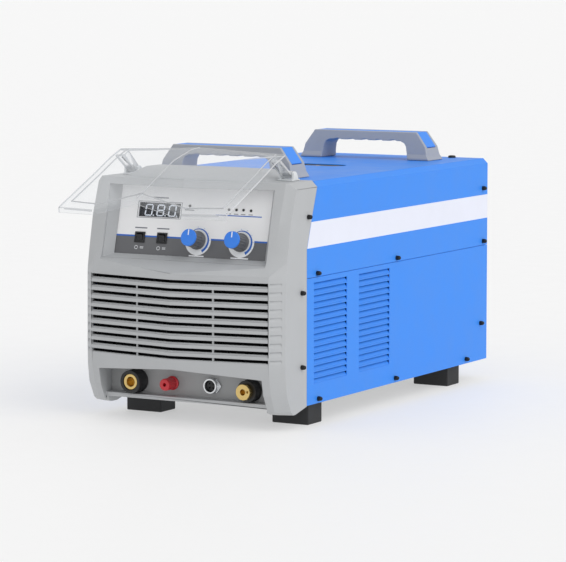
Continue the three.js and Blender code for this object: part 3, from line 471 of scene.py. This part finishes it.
def disc(cx, cz, r, n=64):
    return [(cx + r * math.cos(2 * math.pi * k / n), cz + r * math.sin(2 * math.pi * k / n)) for k in range(n)]


def arc_band(cx, cz, r, a0, a1, w0, w1, n=48):
    out, inn = [], []
    for k in range(n + 1):
        t = k / n
        a = math.radians(a0 + (a1 - a0) * t)
        w = (w0 + (w1 - w0) * t) / 2
        out.append((cx + (r + w) * math.cos(a), cz + (r + w) * math.sin(a)))
        inn.append((cx + (r - w) * math.cos(a), cz + (r - w) * math.sin(a)))
    return out + inn[::-1]


def tube(name, points, radius, mat, body, sides=10):
    """A bead along a line of row-frame points, swept with parallel rings and closed ends."""
    bm = bmesh.new()
    pts = [Vector(p) for p in points]
    rings = []
    ref = Vector((0, 0, 1))
    for i, p in enumerate(pts):
        d = (pts[min(i + 1, len(pts) - 1)] - pts[max(i - 1, 0)]).normalized()
        side = d.cross(ref)
        side = side.normalized() if side.length > 1e-6 else Vector((1, 0, 0))
        up = side.cross(d).normalized()
        rings.append([bm.verts.new(p + radius * (math.cos(2 * math.pi * k / sides) * side + math.sin(2 * math.pi * k / sides) * up)) for k in range(sides)])
    for a, b in zip(rings, rings[1:]):
        for k in range(sides):
            j = (k + 1) % sides
            bm.faces.new((a[k], a[j], b[j], b[k]))
    bm.faces.new(list(reversed(rings[0])))
    bm.faces.new(rings[-1])
    return place(name, bm, mat, body, weld=False, sharp=60)


# ---------------------------------------------------------------------------------------------
# case
# ---------------------------------------------------------------------------------------------
STRIPE = (0.2483, 0.2842)


def stripe_faces(bm):
    for z in STRIPE:
        bmesh.ops.bisect_plane(bm, geom=bm.verts[:] + bm.edges[:] + bm.faces[:], dist=1e-7, plane_co=(0, 0, z), plane_no=(0, 0, 1))
    for f in bm.faces:
        c = f.calc_center_median()
        if abs(c.x) > 0.1588 and STRIPE[0] < c.z < STRIPE[1] and abs(f.normal.x) > 0.9:
            f.material_index = 1


def cover_fold(e):
    a, b = e.verts
    m = (a.co + b.co) / 2
    along = abs(a.co.y - b.co.y) > 0.1
    return along and m.z > 0.325 and abs(m.x) > 0.14


carry("top_cover", bevel=0.00035, edit=stripe_faces, mats=[M["case_blue"], M["stripe_white"]], wide=(cover_fold, 0.0022))
for side in ("right", "left"):
    carry("side_panel_" + side, bevel=0.00025, segs=2)
carry("rear_panel", bevel=0.0003)
carry("front_bezel", bevel=0.00055, segs=2, angle=24, flat=0)
carry("connector_board", bevel=0.0004)
carry("control_panel", bevel=0.0003)
carry("display_window", bevel=0.0003)
carry("lifting_cup", bevel=0.0005)
for end in ("front", "rear"):
    carry(end + "_handle", bevel=0.0012, segs=3, angle=28)
    carry(end + "_handle_inlay", bevel=0.0006, segs=3)
for n in ("foot_front_left", "foot_front_right", "foot_rear_left", "foot_rear_right"):
    carry(n, bevel=0.0016, segs=4)
for side in ("left", "right"):
    carry("rocker_switch_body_" + side, bevel=0.0005, segs=3)
    carry("rocker_" + side, bevel=0.0005, segs=3)
    carry("visor_hinge_" + side, bevel=0.0005, segs=2)
for n in ("fan_guard", "fan_frame", "fan_rotor", "breaker_body", "breaker_toggle", "cable_gland", "air_inlet",
          "trigger_socket_shell", "trigger_socket_insert", "torch_connector_body"):
    carry(n, bevel=0.0004, segs=2)

# ---------------------------------------------------------------------------------------------
# visor: clear sheet with a bead inside its rim and a ridge line; its cut edges, beads and ridge line get a milky white
# over a darkened see-through, painted glint and painted shade for the light lines along them
# ---------------------------------------------------------------------------------------------
# thin edge faces take the second material, the painted glint and painted shade
def visor_faces(bm):
    for f in bm.faces:
        rim = sum(e.calc_length() for e in f.edges) / 2
        if f.calc_area() / max(rim, 1e-9) < 0.0031:
            f.material_index = 1


carry("visor", bevel=0.0005, segs=2, edit=visor_faces, mats=[M["clear_plastic"], M["clear_edge_glint_shade"]], flat=0.2)
ROWS = [(-183.5, 272.6, 17, 5.4), (-87, 316.3, 19, 5.4), (-40, 337.4, 10, 4), (-12.5, 346, 3.4, 2.2)]


def visor_top(x, y, lift=2.9):
    for a, b in zip(ROWS, ROWS[1:]):
        if y <= b[0]:
            break
    t = (y - a[0]) / (b[0] - a[0])
    z, ridge, drop = (a[i] + (b[i] - a[i]) * t for i in (1, 2, 3))
    ax = abs(x)
    if ax <= 69:
        z += ridge * (1 - ax / 69)
    else:
        z -= drop * (ax - 69) / 64
    return P(x, y, z + lift)


for s, side in ((-1, "left"), (1, "right")):
    ys = [-158 + (142 * k) / 36 for k in range(37)]
    tube("visor_bead_" + side, [visor_top(s * 120, y, 3.0) for y in ys], 0.0009, M["clear_edge_glint_shade"], "visor")
xs = [-120 + 240 * k / 60 for k in range(61)]
tube("visor_bead_front", [visor_top(x, -170 + max(0, abs(x) - 69) * 0.2353, 3.0) for x in xs], 0.0009, M["clear_edge_glint_shade"], "visor")
tube("visor_ridge", [visor_top(0, -181 + (163 * k) / 40, 2.9) for k in range(41)], 0.0008, M["clear_edge_glint_shade"], "visor")

# ---------------------------------------------------------------------------------------------
# control panel print, display and indicators
# ---------------------------------------------------------------------------------------------
KX, KZ = (11.5, 80.5), 23.2
BAND = (-0.6, 24.4)


def band_outline(z0, z1, x0, x1, cut=20.6, n=28):
    """A strip across the panel with the discs behind the knobs left out of it."""
    out = []
    edges = [x0] + [v for kx in KX for v in (kx - cut, kx + cut)] + [x1]
    for i in range(0, len(edges), 2):
        a, b = edges[i], edges[i + 1]
        left = [] if i == 0 else [k for k in KX if abs(k + cut - a) < 1e-6]
        right = [] if i + 2 >= len(edges) else [k for k in KX if abs(k - cut - b) < 1e-6]
        pts = []

        def side(k, sgn, za, zb):
            r = []
            for q in range(n + 1):
                z = za + (zb - za) * q / n
                d = cut * cut - (z - KZ) ** 2
                r.append((k + sgn * math.sqrt(max(d, 0)), z))
            return r

        pts += [(a, z0)] if not left else []
        pts += side(right[0], -1, z0, z1) if right else [(b, z0), (b, z1)]
        if left:
            pts += side(left[0], 1, z1, z0)
        else:
            pts += [(a, z1)]
        out.append(pts)
    return out


slab("panel_band", band_outline(BAND[0], BAND[1], -123.4, 123.4), 0.28, 0.45, M["band_grey"])
slab("panel_line", band_outline(BAND[1], BAND[1] + 2.3, -123.4, 123.4), 0.24, 0.45, M["print_navy"])
for i, side in enumerate(("left", "right")):
    slab("dial_disc_" + side, [disc(KX[i], KZ, 20.2)], 0.2, 0.44, M["print_white"])
    slab("dial_arc_" + side, [arc_band(KX[i], KZ, 16.4, 128, -62, 0.8, 3.6)], 0.12, 0.3, M["print_navy"])
    ticks = []
    for k in range(7):
        a = math.radians(128 - k * 31)
        c, s_ = math.cos(a), math.sin(a)
        ticks.append([(KX[i] + r * c - w * s_, KZ + r * s_ + w * c) for r, w in ((18.2, 0.25), (19.6, 0.25), (19.6, -0.25), (18.2, -0.25))])
    slab("dial_ticks_" + side, ticks, 0.12, 0.3, M["print_navy"])
slab("knob_labels", [rect(KX[0] - 12, KX[0] + 12, 0.6, 2.4, 0.5), rect(KX[1] - 14, KX[1] + 14, 0.6, 2.4, 0.5)], 0.16, 0.36, M["print_white"])
slab("switch_labels", [rect(x - 10, x + 10, 36.2, 38, 0.5) for x in (-83, -46.8)] + [rect(-70, -44, 79.6, 81.6, 0.6)], 0.3, 0.45, M["print_grey"])
marks = []
for x in (-83, -46.8):
    marks += [arc_band(x - 4.4, 9.4, 2.4, 0, 350, 0.6, 0.6, 32), rect(x + 1.8, x + 7.2, 8.2, 8.9), rect(x + 1.8, x + 7.2, 9.9, 10.6)]
slab("switch_marks", marks, 0.16, 0.36, M["print_white"])
slab("indicator_bar", [rect(35, 108, 59.4, 60.8, 0.6)], 0.3, 0.45, M["print_navy"])
slab("indicator_labels", [rect(x - 3.6, x + 3.6, 62, 63, 0.3) for x in (54.9, 66.8, 77.9, 89.9)] + [rect(-16, -0.6, 64.6, 65.8, 0.4)], 0.3, 0.45, M["print_grey"])
slab("display_border", [rect(-92.6, -20.6, 74.4, 75.2), rect(-92.6, -20.6, 51.4, 52.2), rect(-92.6, -91.8, 52.2, 74.4), rect(-21.4, -20.6, 52.2, 74.4)], 0.3, 0.45, M["print_grey"])

LEDS = [(-8.2, 70.9), (54.9, 68.2), (66.8, 68.4), (77.9, 68.6), (89.9, 68.2)]
for i, (x, z) in enumerate(LEDS):
    bm = lathe([(0, -1.5), (0.9, -1.35), (1.6, -0.9), (1.95, -0.2), (1.95, 0.25), (0, 0.25)], 40)
    place(f"indicator_{i + 1}", bm, M["led_dark"], "case", matrix=on_panel(x, 0, z), sharp=40)

SEGMENTS = {"0": "abcdef", "1": "bc", "2": "abged", "3": "abgcd", "4": "fgbc", "5": "afgcd", "6": "afgedc", "7": "abc", "8": "abcdefg", "9": "abcdfg"}


def digit(ch, x, z, w=10.5, h=15.2, t=2.0):
    def bar(x0, z0, x1, z1):
        dx, dz = x1 - x0, z1 - z0
        L = math.hypot(dx, dz)
        ux, uz = dx / L, dz / L
        g = 0.35
        x0, z0, x1, z1 = x0 + ux * g, z0 + uz * g, x1 - ux * g, z1 - uz * g
        k = t / 2
        return [(x0, z0), (x0 + ux * k - uz * k, z0 + uz * k + ux * k), (x1 - ux * k - uz * k, z1 - uz * k + ux * k), (x1, z1),
                (x1 - ux * k + uz * k, z1 - uz * k - ux * k), (x0 + ux * k + uz * k, z0 + uz * k - ux * k)]

    m, lean = z + h / 2, 0.08
    where = {"a": (x, z + h, x + w, z + h), "b": (x + w, z + h, x + w, m), "c": (x + w, m, x + w, z), "d": (x, z, x + w, z),
             "e": (x, m, x, z), "f": (x, z + h, x, m), "g": (x, m, x + w, m)}
    return [[(px + (pz - z) * lean, pz) for px, pz in bar(*where[s])] for s in SEGMENTS[ch]]


shapes = []
for k, ch in enumerate("080"):
    shapes += digit(ch, -82 + k * 19, 55.7)
    shapes.append(disc(-68.2 + k * 19, 55.8, 1.1, 20))
slab("display_digits", shapes, 4.12, 4.34, M["lcd_lit"])

# ---------------------------------------------------------------------------------------------
# knobs
# ---------------------------------------------------------------------------------------------
def flute(a, n=18):
    return 0.5 - 0.5 * math.cos(n * a)


for i, side in enumerate(("left", "right")):
    body = "knob_" + side
    bm = lathe([(3.3, -18.6), (3.3, -2.6), (9.8, -2.6), (9.8, -1), (12.7, -1), (13, -1.5), (13, -3.6), (12.6, -4.2), (12.1, -4.5), (11.9, -5.2, 0.4),
                (11.9, -6.5, 1), (11.85, -12, 1), (11.8, -18, 1), (11.75, -22.6, 1), (11.6, -23.6, 0.6), (11.2, -24, 0.2), (0, -24), (0, -18.6)],
               144, flute=lambda a: 0.8 * flute(a))
    place("knob_body_" + side, bm, M["knob_grey"], body, matrix=on_panel(KX[i], 0, KZ), sharp=38, replaces=("knob_" + side,))
    cap = bmesh.new()
    lathe([(0, -27.25), (8.4, -27.3), (9.2, -27.5), (10.8, -27.5), (11.5, -27.2), (11.85, -26.6), (11.9, -25.9), (11.9, -24.3), (0, -24.3)], 144, bm=cap)
    place("knob_top_" + side, cap, M["knob_blue"], body, matrix=on_panel(KX[i], 0, KZ), sharp=30, replaces=("knob_cap_" + side,))
    slab("knob_pointer_" + side, [rect(-0.75, 0.75, 3.2, 11.2, 0.6)], -27.62, -27.1, M["print_white"], body=body, matrix=on_panel(KX[i], 0, KZ))

# ---------------------------------------------------------------------------------------------
# connectors
# ---------------------------------------------------------------------------------------------
def at(x, z):
    return Matrix.Translation(P(x, 0, z))


WORK, PILOT, TORCH = (-88, 24), (-30.5, 24), (97, 23)
bm = lathe([(7.2, -24), (12.6, -24), (12.6, -41.8), (17, -41.8), (17, -45.2), (16.6, -45.6), (16.2, -46), (16.2, -62.2), (15.6, -63), (12.1, -63), (11.5, -62.4),
            (11.5, -44), (7.2, -44)], 96, closed=True)
place("work_socket_shell", bm, M["black_plastic"], "case", matrix=at(*WORK), sharp=40, replaces=("work_socket_body",))
bm = lathe([(0, -42), (6.6, -42), (6.6, -60.9), (7.1, -61.5), (10.6, -61.5), (11.1, -61), (11.1, -44.4), (6.8, -44.4), (6.8, -14), (0, -14)], 96)
place("work_socket_brass", bm, M["brass"], "case", matrix=at(*WORK), sharp=30, replaces=("work_socket_contact",))
bm = lathe([(0, -56), (2.4, -56), (2.4, -64.1), (2.8, -64.5), (7.4, -64.5), (8.2, -63.9, 0.5), (8.6, -62.8, 1), (8.6, -46.4, 1), (8.4, -44.8, 0.4), (8.8, -44.4), (9.8, -44), (9.8, -41.8),
            (4.2, -41.8), (4.2, -30), (0, -30)], 144, flute=lambda a: 0.7 * flute(a, 16))
place("pilot_terminal_cap", bm, M["red_plastic"], "case", matrix=at(*PILOT), sharp=38, replaces=("pilot_terminal",))
bm = lathe([(7.6, -28), (9.6, -28), (9.6, -41.8), (16, -41.8), (16, -44.9), (15.6, -45.4), (15.2, -45.8), (15.2, -57.2), (14.5, -58), (7.6, -58)], 96, closed=True)
place("torch_connector_collar", bm, M["black_plastic"], "case", matrix=at(*TORCH), sharp=40, replaces=("torch_connector_flange",))

# lifting eye: a turned boss under a round ring
bm = lathe([(0, 0), (4.8, 0), (4.8, 11.9), (8, 11.9), (8.4, 12.3), (8.4, 14.8), (7.8, 15.4), (4.9, 15.9), (4.6, 16.4), (4.6, 19), (0, 19)], 64)
bmesh.ops.rotate(bm, verts=bm.verts[:], cent=(0, 0, 0), matrix=Matrix.Rotation(math.radians(90), 3, "X"))
ring = [v for v in bm.verts]
R, r, cz = 11.2, 3.4, 30.6
grid = [[bm.verts.new(((R + r * math.cos(b)) * math.cos(a) / 1000, r * math.sin(b) / 1000, (cz + (R + r * math.cos(b)) * math.sin(a)) / 1000))
         for b in [2 * math.pi * q / 28 for q in range(28)]] for a in [2 * math.pi * p_ / 80 for p_ in range(80)]]
for p_ in range(80):
    for q in range(28):
        bm.faces.new((grid[p_][q], grid[(p_ + 1) % 80][q], grid[(p_ + 1) % 80][(q + 1) % 28], grid[p_][(q + 1) % 28]))
place("lifting_ring", bm, M["brass"], "case", matrix=Matrix.Translation(P(0, 321, 262)), sharp=40, replaces=("lifting_eye",))

# near-black foam-textured sheet standing behind the air slots, in the bezel's hollow: painted shade that keeps light
# from showing through the slots
def shade_sheet_y(x):
    return -98.2 + abs(x) * (21.7 / 142.5) + 8.5


bm = bmesh.new()
cols = [-137 + 274 * k / 92 for k in range(93)]
rows = [58 + 120 * k / 40 for k in range(41)]
skin = {}
for d in (0, 4):
    for i, x in enumerate(cols):
        for j, z in enumerate(rows):
            ripple = 0.35 * math.sin(x * 1.9) * math.sin(z * 1.7)
            skin[d, i, j] = bm.verts.new(P(x, shade_sheet_y(x) + d + ripple, z))
nc, nr = len(cols), len(rows)
for i in range(nc - 1):
    for j in range(nr - 1):
        bm.faces.new((skin[0, i, j], skin[0, i + 1, j], skin[0, i + 1, j + 1], skin[0, i, j + 1]))
        bm.faces.new((skin[4, i, j], skin[4, i, j + 1], skin[4, i + 1, j + 1], skin[4, i + 1, j]))
for i in range(nc - 1):
    for j, flip in ((0, 1), (nr - 1, 0)):
        q = (skin[0, i, j], skin[4, i, j], skin[4, i + 1, j], skin[0, i + 1, j])
        bm.faces.new(q if flip else q[::-1])
for j in range(nr - 1):
    for i, flip in ((0, 0), (nc - 1, 1)):
        q = (skin[0, i, j], skin[4, i, j], skin[4, i, j + 1], skin[0, i, j + 1])
        bm.faces.new(q if flip else q[::-1])
place("grille_shade_sheet", bm, M["shade_sheet_black"], "case", weld=False, sharp=60)

# a thinner near-black sheet of the same kind behind the louvres of each side panel: painted shade that keeps light from
# passing through the case
for s, side in ((-1, "left"), (1, "right")):
    bm = bmesh.new()
    cols = [38.4 + 213.6 * k / 44 for k in range(45)]
    rows = [24 + 152 * k / 30 for k in range(31)]
    skin = {}
    for d in (0, 1):
        for i, y in enumerate(cols):
            for j, z in enumerate(rows):
                ripple = 0.25 * math.sin(y * 1.9) * math.sin(z * 1.7)
                skin[d, i, j] = bm.verts.new(P(s * (152 - 1.2 * d + ripple), y, z))
    nc, nr = len(cols), len(rows)
    for i in range(nc - 1):
        for j in range(nr - 1):
            for d in (0, 1):
                bm.faces.new((skin[d, i, j], skin[d, i + 1, j], skin[d, i + 1, j + 1], skin[d, i, j + 1]))
        for j in (0, nr - 1):
            bm.faces.new((skin[0, i, j], skin[1, i, j], skin[1, i + 1, j], skin[0, i + 1, j]))
    for j in range(nr - 1):
        for i in (0, nc - 1):
            bm.faces.new((skin[0, i, j], skin[1, i, j], skin[1, i, j + 1], skin[0, i, j + 1]))
    bmesh.ops.recalc_face_normals(bm, faces=bm.faces)
    place("louvre_shade_sheet_" + side, bm, M["shade_sheet_black"], "case", weld=False, sharp=60)

# ---------------------------------------------------------------------------------------------
# pan-head screws with a cross recess
# ---------------------------------------------------------------------------------------------
def screw_mesh(radius, height, name):
    """One screw head about local Z with its underside at 0; the recess is cut from the solid head."""
    head = bmesh.new()
    n = 48
    prof = [(radius, 0), (radius, height * 0.3), (radius * 0.96, height * 0.55), (radius * 0.84, height * 0.82), (radius * 0.6, height * 0.97), (radius * 0.3, height)]
    rings = [[head.verts.new((q * math.cos(2 * math.pi * k / n) / 1000, q * math.sin(2 * math.pi * k / n) / 1000, h / 1000)) for k in range(n)] for q, h in prof]
    for a, b in zip(rings, rings[1:]):
        for k in range(n):
            head.faces.new((a[k], a[(k + 1) % n], b[(k + 1) % n], b[k]))
    head.faces.new(rings[-1])
    head.faces.new(list(reversed(rings[0])))
    me = bpy.data.meshes.new(name)
    head.to_mesh(me)
    head.free()
    cutter = bmesh.new()
    k, L, d = radius * 0.12, radius * 0.62, radius * 0.45
    pts = [(k, -L), (k, -k), (L, -k), (L, k), (k, k), (k, L), (-k, L), (-k, k), (-L, k), (-L, -k), (-k, -k), (-k, -L)]
    lo = [cutter.verts.new((x * 0.6 / 1000, y * 0.6 / 1000, (height - d) / 1000)) for x, y in pts]
    hi = [cutter.verts.new((x / 1000, y / 1000, (height + 1) / 1000)) for x, y in pts]
    cutter.faces.new(hi)
    cutter.faces.new(list(reversed(lo)))
    for i in range(12):
        j = (i + 1) % 12
        cutter.faces.new((lo[i], lo[j], hi[j], hi[i]))
    cm = bpy.data.meshes.new(name + "_cut")
    cutter.to_mesh(cm)
    cutter.free()
    ho, co_ = bpy.data.objects.new(name + "_tmp", me), bpy.data.objects.new(name + "_tmpcut", cm)
    bpy.context.scene.collection.objects.link(ho)
    bpy.context.scene.collection.objects.link(co_)
    mod = ho.modifiers.new("cut", "BOOLEAN")
    mod.object = co_
    mod.operation = "DIFFERENCE"
    mod.solver = "EXACT"
    bpy.context.view_layer.update()
    done = bpy.data.meshes.new_from_object(ho.evaluated_get(bpy.context.evaluated_depsgraph_get()))
    bpy.data.objects.remove(ho)
    bpy.data.objects.remove(co_)
    done.polygons.foreach_set("use_smooth", [True] * len(done.polygons))
    done.set_sharp_from_angle(angle=math.radians(40))
    done.materials.clear()
    done.materials.append(M["black_steel"])
    return done


small = screw_mesh(3.3, 6.5, "pan_head_small")
large = screw_mesh(6.0, 3.7, "pan_head_large")
BEZEL_SCREWS = [(2.7, 260.9), (-15.4, 157.8), (-15.3, 55.4)]
CASE_SCREWS = [(28.4, 181.3), (266.9, 181.7), (553.6, 182.4), (552.3, 263.4), (546.2, 56.9), (31.7, 6.4), (263, 6.7), (496.4, 7.1)]
count = 0
for s, side in ((-1, "left"), (1, "right")):
    turn = Matrix.Rotation(math.radians(90 * s), 4, "Y")
    for i, (y, z) in enumerate(BEZEL_SCREWS + CASE_SCREWS):
        ob = bpy.data.objects.new(f"screw_{side}_{i + 1}", small)
        bpy.context.scene.collection.objects.link(ob)
        ob.matrix_world = Matrix.Translation(P(s * 160.05, y, z)) @ turn @ Matrix.Rotation(0.5 + 1.7 * i, 4, "Z")
        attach(ob, "case")
        if i == 1:
            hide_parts("bezel_screw_" + side)
    ob = bpy.data.objects.new(f"screw_top_{side}", large)
    bpy.context.scene.collection.objects.link(ob)
    ob.matrix_world = Matrix.Translation(P(s * 105, 557, 307.95)) @ Matrix.Rotation(0.9 * s, 4, "Z")
    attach(ob, "case")

# parts that stay as they are, inside the case
for n, ob in nodes.items():
    if not ob.hide_render:
        ob.data.materials.clear()
        ob.data.materials.append(M[SLOT[n]])

# ---------------------------------------------------------------------------------------------
# floor, light, camera
# ---------------------------------------------------------------------------------------------
floor_mat = surface("studio_floor", (0.47, 0.47, 0.47, 1), rough=0.6, vary=0.004, grain=60, bump=0.02, depth=0.0002, spec=0.1)
floor_bsdf = next(n for n in floor_mat.node_tree.nodes if n.type == "BSDF_PRINCIPLED")
floor_bsdf.inputs["Emission Color"].default_value = (1, 1, 1, 1)
floor_bsdf.inputs["Emission Strength"].default_value = 0.45
bm = bmesh.new()
N = 24
verts = [[bm.verts.new(((i / N - 0.5) * 130, (j / N - 0.5) * 130, 0)) for j in range(N + 1)] for i in range(N + 1)]
for i in range(N):
    for j in range(N):
        bm.faces.new((verts[i][j], verts[i + 1][j], verts[i + 1][j + 1], verts[i][j + 1]))
me = bpy.data.meshes.new("studio_floor")
bm.to_mesh(me)
bm.free()
me.materials.append(floor_mat)
floor = bpy.data.objects.new("studio_floor", me)
bpy.context.scene.collection.objects.link(floor)

world = bpy.data.worlds.new("studio")
bpy.context.scene.world = world
world.use_nodes = True
bg = world.node_tree.nodes["Background"]
bg.inputs["Color"].default_value = (1.0, 1.0, 1.0, 1)
bg.inputs["Strength"].default_value = 0.74


def sun(name, direction, strength, angle):
    d = bpy.data.lights.new(name, "SUN")
    d.energy = strength
    d.angle = math.radians(angle)
    ob = bpy.data.objects.new(name, d)
    bpy.context.scene.collection.objects.link(ob)
    ob.rotation_euler = Vector(direction).to_track_quat("-Z", "Y").to_euler()
    return ob


sun("key", (-0.85, 0.22, -0.8), 1.05, 45)

cam_data = bpy.data.cameras.new("camera")
cam_data.lens = 191.97
cam_data.sensor_width = 36
cam_data.clip_start = 0.1
cam_data.clip_end = 200
cam = bpy.data.objects.new("camera", cam_data)
bpy.context.scene.collection.objects.link(cam)
eye, target = Vector((2.1543, -3.8003, 0.6501)), Vector((-0.01904, 0.045, 0.17097))
cam.location = eye
cam.rotation_euler = (target - eye).to_track_quat("-Z", "Y").to_euler()
bpy.context.scene.camera = cam
bpy.context.scene.view_settings.view_transform = "Standard"
bpy.context.scene.view_settings.look = "None"
